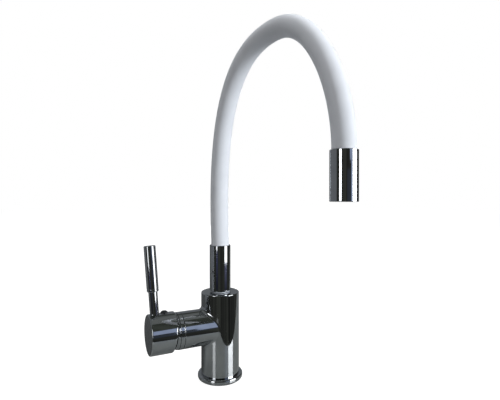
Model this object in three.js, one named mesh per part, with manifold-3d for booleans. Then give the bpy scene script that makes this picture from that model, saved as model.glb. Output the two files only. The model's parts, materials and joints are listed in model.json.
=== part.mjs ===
// A kitchen mixer tap with a side lever and a bendable hose spout, in millimetres, +Z up.
// The origin is on the column's axis at the worktop. At rest the spout reaches towards -Y.

import * as THREE from 'three';
import { mergeVertices } from 'three/addons/utils/BufferGeometryUtils.js';
import Module from 'manifold-3d';

const wasm = await Module();
wasm.setup();

// Steps in a full turn, and along a bend
const largeRound = 36;
const smallRound = 20;
const hoseRound = 20;
const coreRound = 10;
const hoseSteps = 32;
const edgeSteps = 3;
const domeSteps = 4;
const waterHoleRound = 6;

// Directions, in degrees
const armBearing = 166.8;
const spoutBearing = -90;
const openAngle = 20;
const leverSplay = 3.2;
const restTurn = 4;
const grubScrewBearing = -79;

// Clearances
const seatGap = 0.3;
const runningGap = 0.2;
const pinGap = 0.15;
const overrun = 4;

// Base flange and its seal
const flangeRadius = 26.5;
const flangeHeight = 6.6;
const flangeLowerRound = 2.8;
const flangeUpperRound = 2.2;
const footRadius = 19;
const deckSealInnerRadius = 20.6;
const deckSealOuterRadius = 22.8;
const deckSealHeight = 1.8;

// Column
const columnRadius = 22.5;
const columnTop = 101.9;
const columnEdge = 0.9;

// Arm that holds the cartridge
const armHeight = 62.5;
const armRadius = 20.7;
const armEnd = 48.5;
const armEdge = 0.4;
const chamberFloor = 19;
const cartridgeRadius = 17.35;

// Waterways and fixing sockets in the column
const inletRadius = 4.3;
const inletReach = 8;
const inletOffset = 9;
const inletDrop = 4;
const outletRise = 8.5;
const portRadius = 3.6;
const studRadius = 3.4;
const studDepth = 18;
const studReach = 9;
const studOffset = 10;

// Swivel socket and spigot
const spigotRadius = 8.9;
const spigotBottom = 78.4;
const spigotBore = 3;
const spigotBodyRadius = 10.5;
const spigotBodyHeight = 29.5;
const nippleRadius = 3.9;
const nippleHeight = 16;
const clipHeight = 1;
const clipRise = 2.4;
const clipDepth = 0.9;
const clipOpening = 5;
const clipStandOut = 0.7;
const ringHeight = 2;
const ringDepth = 1.5;
const lowerRingRise = 8;
const upperRingRise = 15;
const glideRingRadius = 11.3;
const glideRingHeight = 0.9;

// Sleeve at the foot of the spout
const sleeveRadius = 12.45;
const sleeveTop = 157.55;
const sleeveFootEdge = 0.9;
const sleeveTopEdge = 0.4;
const grubScrewRadius = 2;
const grubScrewLength = 3;
const grubScrewHeight = 126.8;
const grubScrewSunk = 0.25;
const hexSocketRadius = 1;
const hexSocketDepth = 1.6;

// Spout hose and what it holds
const hoseRadius = 10.55;
const hoseWall = 2.3;
const coreWall = 1.4;
const waterHoseRadius = 5.3;
const waterHoseWall = 1.1;
const ferruleWall = 0.55;
const ferruleLength = 11;
const ferruleSetBack = 2;
const spoutReach = 179;
const crownReach = 97.3;
const crownHeight = 382.2;
const riserPull = 27.4;
const crownInnerPull = 118.7;
const crownOuterPull = 48.7;
const outletPull = 57.7;

// Nozzle
const nozzleRadius = 12.13;
const nozzleTop = 254.1;
const nozzleBottom = 210.6;
const nozzleEdge = 0.6;
const nozzleStepRise = 12.9;
const connectorHeight = 10.8;
const connectorRecessRadius = 8;
const connectorRecessDepth = 4;

// Aerator
const aeratorRadius = 10;
const aeratorWall = 1.3;
const aeratorRecess = 1;
const aeratorLip = 1.1;
const aeratorLipHeight = 1.5;
const aeratorHeight = 10.1;
const insertHeight = 7.4;
const insertHoleRadius = 0.8;
const insertRingShares = [{ share: 0.32, holes: 5 }, { share: 0.7, holes: 12 }];
const screenHeight = 0.6;
const screenBore = 1.6;
const aeratorSealHeight = 1.5;

// Cartridge
const portSealHeight = 1.4;
const portSealWall = 1.2;
const cartridgeBaseHeight = 4;
const fixedDiscRadius = 13.2;
const fixedDiscHeight = 3.4;
const movingDiscRadius = 10.4;
const movingDiscHeight = 3.6;
const mixingPocketRadius = 7.4;
const mixingPocketDepth = 1.7;
const driverHeight = 4.2;
const carrierRadius = 13.6;
const carrierPlateHeight = 4.2;
const carrierHubRadius = 10.2;
const carrierPastPivot = 3.5;
const carrierSlotLength = 13;
const housingBore = 14;
const housingTopWall = 2.4;
const collarRadius = 12.5;
const collarHeight = 3.7;
const nutHeight = 4.9;
const nutBore = 13.2;
const nutNotches = 4;
const nutNotchWidth = 4;
const nutNotchDepth = 2;

// Lever pivot and stem
const pivotReach = 49;
const pivotPinRadius = 1.5;
const pivotPinSetIn = 0.6;
const ballReach = 14.8;
const ballRadius = 2.6;
const stemNeckRadius = 2.1;
const stemSquare = 7.4;
const stemBehindPivot = 3;
const stemPastPivot = 27;

// Shroud between the arm and the handle
const shroudRingEnd = 53.3;
const shroudRingWall = 1.9;
const shroudRimRadius = 20.3;
const shroudRimEnd = 55.5;
const shroudEdge = 0.5;
const shroudDomeEnd = 60;
const shroudMouthRadius = 10.4;
const shroudWall = 1.2;
const shroudSkirtRadius = 18.4;

// Handle cap, measured from the lever pivot
const capRadius = 22.3;
const capWall = 1.3;
const capStart = 8.8;
const capRimSlant = 6.2;
const capFace = 36.2;
const capRimRound = 1.2;
const capFaceRound = 1.2;
const capBlockStart = 22.6;
const hubRadius = 7.6;
const hubStart = 13.5;
const ribWidth = 8;

// Lever rod and grip, with heights above the cap's top
const leverReach = 28.8;
const rodRadius = 5;
const rodSunk = 11;
const gripStart = 24.9;
const gripTop = 75.7;
const gripRadius = 6.55;
const gripEdge = 0.6;
const gripGrooveRise = 2.4;
const gripGrooveHeight = 0.7;
const gripGrooveDepth = 0.35;
const tenonRadius = 3;
const tenonLength = 12;

// Handle set screw and its cover
const setScrewReach = 18.1;
const setScrewRadius = 2.2;
const setScrewLength = 7;
const coverRadius = 4.2;
const coverSeatDepth = 1.5;
const coverRise = 2.6;

// Colours and finishes
const finishes = {
  chrome: { color: 0xc9ccd0, roughness: 0.06, metalness: 1 },
  brass: { color: 0xb59a55, roughness: 0.35, metalness: 1 },
  steel: { color: 0xa7abb0, roughness: 0.3, metalness: 1 },
  silicone: { color: 0xe6e8ea, roughness: 0.45, metalness: 0 },
  plastic: { color: 0xd8d4c8, roughness: 0.5, metalness: 0 },
  ceramic: { color: 0xf0efe9, roughness: 0.2, metalness: 0 },
  rubber: { color: 0x1d1d1e, roughness: 0.7, metalness: 0 },
  cover: { color: 0x24262a, roughness: 0.3, metalness: 0 },
};

const radians = THREE.MathUtils.degToRad;
const quarterTurn = Math.PI / 2;

// Sizes that follow from the driving ones
const columnFoot = flangeHeight + seatGap;
const chamberRadius = cartridgeRadius + seatGap;
const socketRadius = spigotRadius + runningGap;
const socketFloor = spigotBottom - seatGap;
const glideRingFoot = columnTop + seatGap;
const sleeveFoot = glideRingFoot + glideRingHeight + seatGap;
const spigotBodyTop = sleeveFoot + spigotBodyHeight;
const hoseFoot = spigotBodyTop + seatGap;
const sleeveBore = hoseRadius + seatGap;
const hoseBore = hoseRadius - hoseWall;
const coreRadius = hoseBore - seatGap;
const coreBore = coreRadius - coreWall;
const ferruleBore = waterHoseRadius + pinGap;
const nozzleStepHeight = nozzleBottom + nozzleStepRise;
const connectorFoot = nozzleStepHeight + seatGap;
const connectorTop = connectorFoot + connectorHeight;
const hoseEnd = connectorTop + seatGap;
const portSealStart = chamberFloor + seatGap;
const cartridgeBaseStart = portSealStart + seatGap;
const fixedDiscStart = cartridgeBaseStart + cartridgeBaseHeight + seatGap;
const movingDiscStart = fixedDiscStart + fixedDiscHeight + pinGap;
const driverStart = movingDiscStart + movingDiscHeight + seatGap;
const carrierStart = driverStart + driverHeight + seatGap;
const housingTopStart = carrierStart + carrierPlateHeight + runningGap;
const collarStart = housingTopStart + housingTopWall;
const nutStart = collarStart + seatGap;
const stemRestAngle = openAngle / 2;

// The cartridge's ports, as [across, up] from the arm's axis
const portPlaces = [[-inletOffset, -inletDrop], [inletOffset, -inletDrop], [0, outletRise]];

// A closed geometry's solid, with its doubled points joined
function toSolid(geometry) {
  const bare = geometry.clone();
  bare.deleteAttribute('normal');
  bare.deleteAttribute('uv');
  const welded = mergeVertices(bare);
  const corners = welded.index.array;
  const triangles = [];
  for (let i = 0; i < corners.length; i += 3) {
    const [a, b, c] = corners.slice(i, i + 3);
    if (a !== b && b !== c && c !== a) triangles.push(a, b, c);
  }
  return new wasm.Manifold(new wasm.Mesh({
    numProp: 3,
    vertProperties: new Float32Array(welded.attributes.position.array),
    triVerts: new Uint32Array(triangles),
  }));
}

function toGeometry(solid) {
  const mesh = solid.getMesh();
  const geometry = new THREE.BufferGeometry();
  geometry.setAttribute('position', new THREE.Float32BufferAttribute(mesh.vertProperties, 3));
  geometry.setIndex(new THREE.Uint32BufferAttribute(mesh.triVerts, 1));
  geometry.computeVertexNormals();
  return geometry;
}

function joined(...geometries) {
  return toGeometry(geometries.map(toSolid).reduce((whole, next) => whole.add(next)));
}

function cut(geometry, ...cutters) {
  return toGeometry(cutters.map(toSolid).reduce((rest, next) => rest.subtract(next), toSolid(geometry)));
}

// A piece turned about +Z. The profile's [radius, height] points go round anticlockwise.
function turned(profile, steps = smallRound) {
  const points = profile.map(([radius, height]) => new THREE.Vector2(radius, height));
  return new THREE.LatheGeometry(points, steps).rotateX(quarterTurn);
}

function rod(radius, from, to, steps = smallRound) {
  return turned([[0, from], [radius, from], [radius, to], [0, to]], steps);
}

function ring(inner, outer, from, to, steps = smallRound) {
  return turned([[inner, from], [outer, from], [outer, to], [inner, to], [inner, from]], steps);
}

function block(length, width, height, x, y, z) {
  return new THREE.BoxGeometry(length, width, height).translate(x, y, z);
}

// Points of a quarter round from one angle to another, about [radius, height]
function roundEdge(radius, height, size, fromDegrees, toDegrees, steps = edgeSteps) {
  return Array.from({ length: steps + 1 }, (_, i) => {
    const angle = radians(fromDegrees + ((toDegrees - fromDegrees) * i) / steps);
    return [radius + size * Math.cos(angle), height + size * Math.sin(angle)];
  });
}

// Turns what points up so that it points along the arm
function alongArm(geometry) {
  return geometry.rotateY(quarterTurn);
}

function piece(parent, name, geometry, finish) {
  const mesh = new THREE.Mesh(geometry, new THREE.MeshStandardMaterial(finishes[finish]));
  mesh.name = name;
  parent.add(mesh);
}

function groupAt(parent, x, z, bearing = 0) {
  const group = new THREE.Group();
  group.position.set(x, 0, z);
  group.rotation.z = radians(bearing);
  parent.add(group);
  return group;
}

function addBase(group) {
  const outline = [
    [footRadius + seatGap, 0],
    ...roundEdge(flangeRadius - flangeLowerRound, flangeLowerRound, flangeLowerRound, -90, 0),
    ...roundEdge(flangeRadius - flangeUpperRound, flangeHeight - flangeUpperRound, flangeUpperRound, 0, 90),
    [footRadius + seatGap, flangeHeight],
    [footRadius + seatGap, 0],
  ];
  const groove = ring(
    deckSealInnerRadius - seatGap,
    deckSealOuterRadius + seatGap,
    -overrun,
    deckSealHeight + seatGap,
  );
  piece(group, 'base_flange', cut(turned(outline, largeRound), groove), 'chrome');
  piece(group, 'deck_seal', ring(deckSealInnerRadius, deckSealOuterRadius, 0, deckSealHeight), 'rubber');
}

// The cutters for the cartridge's ports, along the arm from one reach to another
function portCutters(radius, from, to) {
  return portPlaces.map(([y, z]) => alongArm(rod(radius, from, to)).translate(0, y, z));
}

function bodyCutters() {
  const inlets = [-inletOffset, inletOffset].map(
    (y) => rod(inletRadius, -overrun, armHeight - inletDrop).translate(inletReach, y, 0),
  );
  const studs = [-studOffset, studOffset].map(
    (y) => rod(studRadius, -overrun, studDepth).translate(-studReach, y, 0),
  );
  const ports = portCutters(portRadius, 0, chamberFloor + overrun)
    .map((port) => port.translate(0, 0, armHeight));
  const chamber = alongArm(rod(chamberRadius, chamberFloor, armEnd + overrun, largeRound));
  const clipFoot = spigotBottom + clipRise;
  return [
    ...inlets,
    ...studs,
    ...ports,
    chamber.translate(0, 0, armHeight),
    rod(portRadius, armHeight + outletRise, columnTop),
    rod(socketRadius, socketFloor, columnTop + overrun, largeRound),
    rod(spigotRadius + clipStandOut + seatGap, clipFoot - seatGap, clipFoot + clipHeight + seatGap),
  ];
}

function addBody(group) {
  const column = turned([
    [0, 0],
    [footRadius, 0],
    [footRadius, columnFoot],
    [columnRadius, columnFoot],
    ...roundEdge(columnRadius - columnEdge, columnTop - columnEdge, columnEdge, 0, 90),
    [0, columnTop],
  ], largeRound);
  const arm = alongArm(turned([
    [0, 0],
    [armRadius, 0],
    [armRadius, armEnd - armEdge],
    [armRadius - armEdge, armEnd],
    [0, armEnd],
  ], largeRound)).translate(0, 0, armHeight);
  piece(group, 'body_casting', cut(joined(column, arm), ...bodyCutters()), 'chrome');
}

// The cartridge's fixed pieces, with the arm's axis as their own
function addCartridge(group) {
  const sealNames = ['hot_port_seal', 'cold_port_seal', 'outlet_port_seal'];
  sealNames.forEach((name, i) => {
    const seal = ring(portRadius, portRadius + portSealWall, portSealStart, portSealStart + portSealHeight);
    const [y, z] = portPlaces[i];
    piece(group, name, alongArm(seal).translate(0, y, z), 'rubber');
  });

  const baseEnd = cartridgeBaseStart + cartridgeBaseHeight;
  const sealSeats = portCutters(
    portRadius + portSealWall + pinGap,
    cartridgeBaseStart - overrun,
    portSealStart + portSealHeight + seatGap,
  );
  const base = cut(
    alongArm(rod(cartridgeRadius, cartridgeBaseStart, baseEnd)),
    ...sealSeats,
    ...portCutters(portRadius, cartridgeBaseStart - overrun, baseEnd + overrun),
  );
  piece(group, 'cartridge_base', base, 'plastic');

  const discEnd = fixedDiscStart + fixedDiscHeight;
  const disc = cut(
    alongArm(rod(fixedDiscRadius, fixedDiscStart, discEnd)),
    ...portCutters(portRadius, fixedDiscStart - overrun, discEnd + overrun),
  );
  piece(group, 'fixed_ceramic_disc', disc, 'ceramic');

  const collarBore = carrierHubRadius + runningGap;
  const collarEnd = collarStart + collarHeight;
  const housing = turned([
    [housingBore, fixedDiscStart],
    [cartridgeRadius, fixedDiscStart],
    [cartridgeRadius, collarStart],
    [collarRadius, collarStart],
    [collarRadius, collarEnd],
    [collarBore, collarEnd],
    [collarBore, housingTopStart],
    [housingBore, housingTopStart],
    [housingBore, fixedDiscStart],
  ]);
  piece(group, 'cartridge_housing', alongArm(housing), 'plastic');

  const nutEnd = nutStart + nutHeight;
  const notches = Array.from({ length: nutNotches }, (_, i) => {
    const notch = block(
      2 * cartridgeRadius,
      nutNotchWidth,
      2 * nutNotchDepth,
      cartridgeRadius,
      0,
      nutEnd,
    );
    return alongArm(notch.rotateZ((2 * Math.PI * i) / nutNotches));
  });
  const nut = cut(alongArm(ring(nutBore, cartridgeRadius, nutStart, nutEnd)), ...notches);
  piece(group, 'cartridge_nut', nut, 'brass');
}

function addShroud(group) {
  const ringStart = armEnd + seatGap;
  const ringProfile = [
    [armRadius - shroudRingWall, ringStart],
    [armRadius - shroudEdge, ringStart],
    [armRadius, ringStart + shroudEdge],
    [armRadius, shroudRingEnd - shroudEdge],
    [armRadius - shroudEdge, shroudRingEnd],
    [armRadius - shroudRingWall, shroudRingEnd],
    [armRadius - shroudRingWall, ringStart],
  ];
  piece(group, 'shroud_ring', alongArm(turned(ringProfile, largeRound)), 'chrome');

  const rimStart = shroudRingEnd + seatGap;
  const rimTop = shroudRimRadius - shroudEdge;
  const domeDepth = shroudDomeEnd - shroudRimEnd;
  const domeRun = rimTop - shroudMouthRadius;
  const dome = Array.from({ length: domeSteps + 1 }, (_, i) => {
    const angle = (quarterTurn * i) / domeSteps;
    return { across: Math.cos(angle), along: Math.sin(angle) };
  });
  const outer = dome.map(({ across, along }) => [
    shroudMouthRadius + domeRun * across,
    shroudRimEnd + domeDepth * along,
  ]);
  const inner = dome.map(({ across, along }) => [
    shroudMouthRadius + (shroudSkirtRadius - shroudWall - shroudMouthRadius) * across,
    shroudRimEnd + (domeDepth - shroudWall) * along,
  ]).reverse();
  const shroud = turned([
    [shroudSkirtRadius, rimStart],
    [shroudRimRadius, rimStart],
    [shroudRimRadius, shroudRimEnd - shroudEdge],
    ...outer,
    ...inner,
    [shroudSkirtRadius - shroudWall, ringStart],
    [shroudSkirtRadius, ringStart],
    [shroudSkirtRadius, rimStart],
  ], largeRound);
  piece(group, 'arm_shroud', alongArm(shroud), 'chrome');
}

// The disc that slides over the fixed one, set to where the lever has shut the water off
function addMixingDisc(group) {
  const shift = -ballReach * Math.sin(radians(stemRestAngle));
  const pocket = rod(mixingPocketRadius, movingDiscStart - overrun, movingDiscStart + mixingPocketDepth);
  const disc = cut(
    rod(movingDiscRadius, movingDiscStart, movingDiscStart + movingDiscHeight),
    pocket,
  );
  piece(group, 'moving_ceramic_disc', alongArm(disc).translate(0, 0, shift), 'ceramic');
  const driver = ring(ballRadius + runningGap, movingDiscRadius, driverStart, driverStart + driverHeight);
  piece(group, 'disc_driver', alongArm(driver).translate(0, 0, shift), 'plastic');
}

function addCarrier(group) {
  const hubEnd = pivotReach + carrierPastPivot;
  const turnedPart = alongArm(turned([
    [0, carrierStart],
    [carrierRadius, carrierStart],
    [carrierRadius, carrierStart + carrierPlateHeight],
    [carrierHubRadius, carrierStart + carrierPlateHeight],
    [carrierHubRadius, hubEnd],
    [0, hubEnd],
  ]));
  const slot = block(
    2 * (hubEnd - carrierStart),
    stemSquare + 2 * seatGap,
    carrierSlotLength,
    (carrierStart + hubEnd) / 2,
    0,
    0,
  );
  const pinHole = rod(pivotPinRadius + pinGap, -carrierRadius, carrierRadius)
    .rotateX(quarterTurn)
    .translate(pivotReach, 0, 0);
  piece(group, 'stem_carrier', cut(turnedPart, slot, pinHole), 'plastic');
  const pinReach = carrierHubRadius - pivotPinSetIn;
  const pin = rod(pivotPinRadius, -pinReach, pinReach).rotateX(quarterTurn).translate(pivotReach, 0, 0);
  piece(group, 'stem_pin', pin, 'steel');
}

// The stem, with the pivot as its origin
function addStem(group) {
  const neckStart = Math.sqrt(ballRadius ** 2 - stemNeckRadius ** 2) - ballReach;
  const neckAngle = THREE.MathUtils.radToDeg(Math.acos(stemNeckRadius / ballRadius));
  const neck = alongArm(turned([
    ...roundEdge(0, -ballReach, ballRadius, -90, neckAngle, 2 * domeSteps),
    [stemNeckRadius, neckStart],
    [stemNeckRadius, 0],
    [0, 0],
  ]));
  const square = block(
    stemBehindPivot + stemPastPivot,
    stemSquare,
    stemSquare,
    (stemPastPivot - stemBehindPivot) / 2,
    0,
    0,
  );
  const pinHole = rod(pivotPinRadius + pinGap, -stemSquare, stemSquare).rotateX(quarterTurn);
  piece(group, 'control_stem', cut(joined(neck, square), pinHole), 'steel');
}

// The cap's rear rim leans: at the bottom it is cut back, so that the lever can lift
function leanRim(shell) {
  const points = shell.attributes.position;
  const middle = (capStart + capBlockStart) / 2;
  for (let i = 0; i < points.count; i++) {
    const reach = points.getX(i);
    if (reach < middle) points.setX(i, reach - points.getZ(i) * Math.tan(radians(capRimSlant)));
  }
}

// The cap, with the pivot as its origin and the lever's way up
function capGeometry() {
  const bore = capRadius - capWall;
  const rim = Array.from({ length: domeSteps + 1 }, (_, i) => {
    const angle = (quarterTurn * i) / domeSteps;
    return [bore + capWall * Math.sin(angle), capStart + capRimRound * (1 - Math.cos(angle))];
  });
  const shell = alongArm(turned([
    ...rim,
    ...roundEdge(capRadius - capFaceRound, capFace - capFaceRound, capFaceRound, 0, 90),
    [0, capFace],
    [0, capBlockStart],
    [bore, capBlockStart],
    [bore, capStart],
  ], largeRound));
  leanRim(shell);
  const stemTilt = -radians(stemRestAngle);
  const hub = alongArm(rod(hubRadius, hubStart, capBlockStart + overrun)).rotateY(stemTilt);
  const ribTop = capRadius - capWall / 2;
  const rib = block(
    capBlockStart + overrun - hubStart,
    ribWidth,
    ribTop,
    (capBlockStart + overrun + hubStart) / 2,
    0,
    ribTop / 2,
  );
  const stemSocket = block(
    stemPastPivot + seatGap,
    stemSquare + 2 * seatGap,
    stemSquare + 2 * seatGap,
    (stemPastPivot + seatGap) / 2,
    0,
    0,
  ).rotateY(stemTilt);
  const stemTop = setScrewReach * Math.tan(-stemTilt) + stemSquare / 2;
  return cut(
    joined(shell, hub, rib),
    stemSocket,
    rod(rodRadius + seatGap, -rodSunk - seatGap, overrun)
      .rotateY(radians(leverSplay))
      .translate(leverReach, 0, capRadius),
    rod(setScrewRadius + pinGap, stemTop, capRadius + overrun).translate(setScrewReach, 0, 0),
    rod(coverRadius + pinGap, capRadius - coverSeatDepth, capRadius + overrun)
      .translate(setScrewReach, 0, 0),
  );
}

// The lever's rod and grip, with the cap's top as their origin
function addLever(group) {
  const shank = turned([
    [0, -rodSunk],
    [rodRadius, -rodSunk],
    [rodRadius, gripStart - seatGap],
    [tenonRadius, gripStart - seatGap],
    [tenonRadius, gripStart + tenonLength],
    [0, gripStart + tenonLength],
  ]);
  piece(group, 'lever_rod', shank, 'chrome');

  const grooveFoot = gripStart + gripGrooveRise;
  const grip = turned([
    [tenonRadius + seatGap, gripStart],
    [gripRadius - gripEdge, gripStart],
    [gripRadius, gripStart + gripEdge],
    [gripRadius, grooveFoot],
    [gripRadius - gripGrooveDepth, grooveFoot],
    [gripRadius - gripGrooveDepth, grooveFoot + gripGrooveHeight],
    [gripRadius, grooveFoot + gripGrooveHeight],
    [gripRadius, gripTop - gripEdge],
    [gripRadius - gripEdge, gripTop],
    [0, gripTop],
    [0, gripStart + tenonLength + seatGap],
    [tenonRadius + seatGap, gripStart + tenonLength + seatGap],
    [tenonRadius + seatGap, gripStart],
  ]);
  piece(group, 'lever_grip', grip, 'chrome');
}

// The cap, its set screw and their cover, with the pivot as their origin
function addHandle(group) {
  piece(group, 'handle_cap', capGeometry(), 'chrome');

  const stemTilt = radians(stemRestAngle);
  const screwFoot = setScrewReach * Math.tan(stemTilt) + stemSquare / 2 / Math.cos(stemTilt) + 2 * seatGap;
  const screw = turned([
    [0, screwFoot],
    [setScrewRadius, screwFoot],
    [setScrewRadius, screwFoot + setScrewLength],
    [hexSocketRadius, screwFoot + setScrewLength],
    [hexSocketRadius, screwFoot + setScrewLength - hexSocketDepth],
    [0, screwFoot + setScrewLength - hexSocketDepth],
  ]);
  piece(group, 'handle_set_screw', screw.translate(setScrewReach, 0, 0), 'steel');

  const coverFoot = capRadius - coverSeatDepth + seatGap;
  const cover = turned([
    [0, coverFoot],
    [coverRadius, coverFoot],
    ...Array.from({ length: domeSteps + 1 }, (_, i) => {
      const angle = (quarterTurn * i) / domeSteps;
      return [coverRadius * Math.cos(angle), capRadius + coverRise * Math.sin(angle)];
    }),
  ]);
  piece(group, 'set_screw_cover', cover.translate(setScrewReach, 0, 0), 'cover');
}

// The turned brass spigot that carries the spout in the column's socket
function addSpigot(group) {
  const clipFoot = spigotBottom + clipRise;
  const spigot = turned([
    [spigotBore, spigotBottom],
    [spigotRadius, spigotBottom],
    [spigotRadius, sleeveFoot],
    [spigotBodyRadius, sleeveFoot],
    [spigotBodyRadius, spigotBodyTop],
    [nippleRadius, spigotBodyTop],
    [nippleRadius, spigotBodyTop + nippleHeight],
    [spigotBore, spigotBodyTop + nippleHeight],
    [spigotBore, spigotBottom],
  ]);
  const ringGrooves = [lowerRingRise, upperRingRise].map((rise) => ring(
    spigotRadius - ringDepth,
    spigotRadius + overrun,
    spigotBottom + rise,
    spigotBottom + rise + ringHeight + pinGap,
  ));
  const clipGroove = ring(
    spigotRadius - clipDepth,
    spigotRadius + overrun,
    clipFoot - pinGap,
    clipFoot + clipHeight + pinGap,
  );
  const screwHole = rod(
    grubScrewRadius + pinGap,
    sleeveRadius - grubScrewSunk - grubScrewLength - seatGap,
    sleeveRadius + overrun,
  );
  const turnedHole = alongArm(screwHole).rotateZ(radians(grubScrewBearing)).translate(0, 0, grubScrewHeight);
  piece(group, 'swivel_spigot', cut(spigot, ...ringGrooves, clipGroove, turnedHole), 'brass');

  const ringNames = ['spout_o_ring_lower', 'spout_o_ring_upper'];
  [lowerRingRise, upperRingRise].forEach((rise, i) => {
    const inner = spigotRadius - ringDepth + pinGap;
    const outer = spigotRadius + pinGap / 2;
    const foot = spigotBottom + rise + pinGap / 2;
    const corner = (outer - inner) / 4;
    const profile = [
      [inner + corner, foot],
      [outer - corner, foot],
      [outer, foot + corner],
      [outer, foot + ringHeight - corner],
      [outer - corner, foot + ringHeight],
      [inner + corner, foot + ringHeight],
      [inner, foot + ringHeight - corner],
      [inner, foot + corner],
      [inner + corner, foot],
    ];
    piece(group, ringNames[i], turned(profile), 'rubber');
  });

  const clipInner = spigotRadius - clipDepth + pinGap;
  const clip = cut(
    ring(clipInner, spigotRadius + clipStandOut, clipFoot, clipFoot + clipHeight),
    block(2 * spigotRadius, clipOpening, 2 * overrun, -spigotRadius, 0, clipFoot),
  );
  piece(group, 'spout_retaining_clip', clip, 'steel');

  const glideRing = ring(
    spigotRadius + seatGap,
    glideRingRadius,
    glideRingFoot,
    glideRingFoot + glideRingHeight,
    largeRound,
  );
  piece(group, 'swivel_glide_ring', glideRing, 'plastic');
}

function addSleeve(group) {
  const sleeve = turned([
    [sleeveBore, sleeveFoot],
    [sleeveRadius - sleeveFootEdge, sleeveFoot],
    [sleeveRadius, sleeveFoot + sleeveFootEdge],
    [sleeveRadius, sleeveTop - sleeveTopEdge],
    [sleeveRadius - sleeveTopEdge, sleeveTop],
    [sleeveBore, sleeveTop],
    [sleeveBore, sleeveFoot],
  ], largeRound);
  const hole = alongArm(rod(grubScrewRadius + pinGap, sleeveBore - overrun, sleeveRadius + overrun))
    .rotateZ(radians(grubScrewBearing))
    .translate(0, 0, grubScrewHeight);
  piece(group, 'spout_sleeve', cut(sleeve, hole), 'chrome');

  const screwOuter = sleeveRadius - grubScrewSunk;
  const screw = turned([
    [0, screwOuter - grubScrewLength],
    [grubScrewRadius, screwOuter - grubScrewLength],
    [grubScrewRadius, screwOuter],
    [hexSocketRadius, screwOuter],
    [hexSocketRadius, screwOuter - hexSocketDepth],
    [0, screwOuter - hexSocketDepth],
  ]);
  const placed = alongArm(screw).rotateZ(radians(grubScrewBearing)).translate(0, 0, grubScrewHeight);
  piece(group, 'sleeve_grub_screw', placed, 'steel');
}

// The hose's centre line: straight in the sleeve, up to the crown, over it and down into the nozzle
function hoseRoute() {
  const at = (reach, height) => new THREE.Vector3(reach, 0, height);
  const route = new THREE.CurvePath();
  route.add(new THREE.LineCurve3(at(0, hoseFoot), at(0, sleeveTop)));
  route.add(new THREE.CubicBezierCurve3(
    at(0, sleeveTop),
    at(0, sleeveTop + riserPull),
    at(crownReach - crownInnerPull, crownHeight),
    at(crownReach, crownHeight),
  ));
  route.add(new THREE.CubicBezierCurve3(
    at(crownReach, crownHeight),
    at(crownReach + crownOuterPull, crownHeight),
    at(spoutReach, nozzleTop + outletPull),
    at(spoutReach, nozzleTop),
  ));
  route.add(new THREE.LineCurve3(at(spoutReach, nozzleTop), at(spoutReach, hoseEnd)));
  return route;
}

function tube(outer, inner, round) {
  const section = new THREE.Shape().absarc(0, 0, outer, 0, 2 * Math.PI);
  section.holes.push(new THREE.Path().absarc(0, 0, inner, 0, 2 * Math.PI, true));
  return new THREE.ExtrudeGeometry(section, {
    curveSegments: round / 2,
    steps: hoseSteps,
    extrudePath: hoseRoute(),
  });
}

function addHose(group) {
  piece(group, 'silicone_hose', tube(hoseRadius, hoseBore, hoseRound), 'silicone');
  piece(group, 'gooseneck_core', tube(coreRadius, coreBore, coreRound), 'steel');
  const waterHose = tube(waterHoseRadius, waterHoseRadius - waterHoseWall, coreRound);
  piece(group, 'water_hose', waterHose, 'rubber');
  const ferruleFoot = hoseFoot + ferruleSetBack;
  const ferrule = ring(ferruleBore, ferruleBore + ferruleWall, ferruleFoot, ferruleFoot + ferruleLength);
  piece(group, 'root_ferrule', ferrule, 'steel');
}

// The nozzle's pieces, with the outlet's axis as their own
function addNozzle(group) {
  const ferruleTop = hoseEnd + ferruleSetBack + ferruleLength;
  const ferruleFoot = ferruleTop - ferruleLength;
  const ferrule = ring(ferruleBore, ferruleBore + ferruleWall, ferruleFoot, ferruleTop);
  piece(group, 'outlet_ferrule', ferrule, 'steel');

  const connector = turned([
    [connectorRecessRadius, connectorFoot],
    [spigotBodyRadius, connectorFoot],
    [spigotBodyRadius, connectorTop],
    [nippleRadius, connectorTop],
    [nippleRadius, connectorTop + nippleHeight],
    [spigotBore, connectorTop + nippleHeight],
    [spigotBore, connectorFoot + connectorRecessDepth],
    [connectorRecessRadius, connectorFoot + connectorRecessDepth],
    [connectorRecessRadius, connectorFoot],
  ]);
  piece(group, 'nozzle_connector', connector, 'brass');

  const shell = turned([
    [aeratorRadius + seatGap, nozzleBottom],
    [nozzleRadius - nozzleEdge, nozzleBottom],
    [nozzleRadius, nozzleBottom + nozzleEdge],
    [nozzleRadius, nozzleTop - nozzleEdge],
    [nozzleRadius - nozzleEdge, nozzleTop],
    [sleeveBore, nozzleTop],
    [sleeveBore, nozzleStepHeight],
    [aeratorRadius + seatGap, nozzleStepHeight],
    [aeratorRadius + seatGap, nozzleBottom],
  ], largeRound);
  piece(group, 'nozzle_shell', shell, 'chrome');
}

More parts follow.
